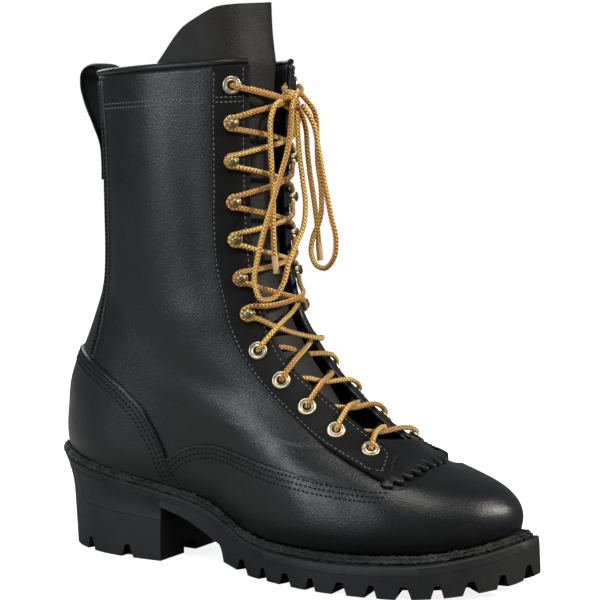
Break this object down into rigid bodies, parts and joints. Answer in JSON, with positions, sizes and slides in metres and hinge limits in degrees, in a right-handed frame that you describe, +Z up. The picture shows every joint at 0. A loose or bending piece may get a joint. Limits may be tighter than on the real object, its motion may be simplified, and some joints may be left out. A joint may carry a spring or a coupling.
{
  "type": "wildland fire boot",
  "caption": "Tall lace-up leather work boot with a high heel, lugged rubber sole, speed hooks, fringed kiltie and a rear pull loop.",
  "frame": {"origin": "on the floor, under the middle of the heel", "axes": "+X towards the toe, +Y towards the inner side of the foot, +Z up"},
  "size_m": [0.312, 0.1045, 0.3255],
  "materials": {
    "upper_leather": "black oiled full-grain leather with a satin sheen",
    "tongue_leather": "soft black leather, a little warmer and duller than the upper",
    "welt_leather": "rough black welt leather with a stitched channel",
    "insole_leather": "plain brown insole leather",
    "sole_rubber": "matte black moulded rubber",
    "pale_brass": "pale polished brass eyelets",
    "antique_brass": "antiqued brass hooks",
    "lace_yarn": "round braided lace, gold with rust-brown flecks"
  },
  "bodies": {
    "root": {"outsole": "sole_rubber", "midsole": "sole_rubber", "welt": "welt_leather", "heel_stack": "sole_rubber", "heel_lift": "sole_rubber", "insole": "insole_leather", "upper": "upper_leather", "counter": "upper_leather", "vamp": "upper_leather", "backstay": "upper_leather", "eyestay_lateral": "upper_leather", "eyestay_medial": "upper_leather", "top_bead": "upper_leather", "pull_loop": "upper_leather", "tongue": "tongue_leather", "kiltie": "upper_leather", "eyelet_lateral_01": "pale_brass", "eyelet_lateral_02": "pale_brass", "eyelet_lateral_03": "pale_brass", "eyelet_lateral_04": "pale_brass", "eyelet_lateral_05": "pale_brass", "hook_lateral_06": "antique_brass", "hook_lateral_07": "antique_brass", "hook_lateral_08": "antique_brass", "hook_lateral_09": "antique_brass", "hook_lateral_10": "antique_brass", "hook_lateral_11": "antique_brass", "eyelet_lateral_12": "pale_brass", "eyelet_medial_01": "pale_brass", "eyelet_medial_02": "pale_brass", "eyelet_medial_03": "pale_brass", "eyelet_medial_04": "pale_brass", "eyelet_medial_05": "pale_brass", "hook_medial_06": "antique_brass", "hook_medial_07": "antique_brass", "hook_medial_08": "antique_brass", "hook_medial_09": "antique_brass", "hook_medial_10": "antique_brass", "hook_medial_11": "antique_brass", "eyelet_medial_12": "pale_brass", "lace_cross_01": "lace_yarn", "lace_cross_02": "lace_yarn", "lace_cross_03": "lace_yarn", "lace_cross_04": "lace_yarn", "lace_cross_05": "lace_yarn", "lace_cross_06": "lace_yarn", "lace_cross_07": "lace_yarn", "lace_cross_08": "lace_yarn", "lace_cross_09": "lace_yarn", "lace_cross_10": "lace_yarn", "lace_cross_11": "lace_yarn", "lace_knot": "lace_yarn", "lace_loop_lateral": "lace_yarn", "lace_loop_medial": "lace_yarn", "lace_end_lateral": "lace_yarn", "lace_end_medial": "lace_yarn"}
  },
  "joints": []
}
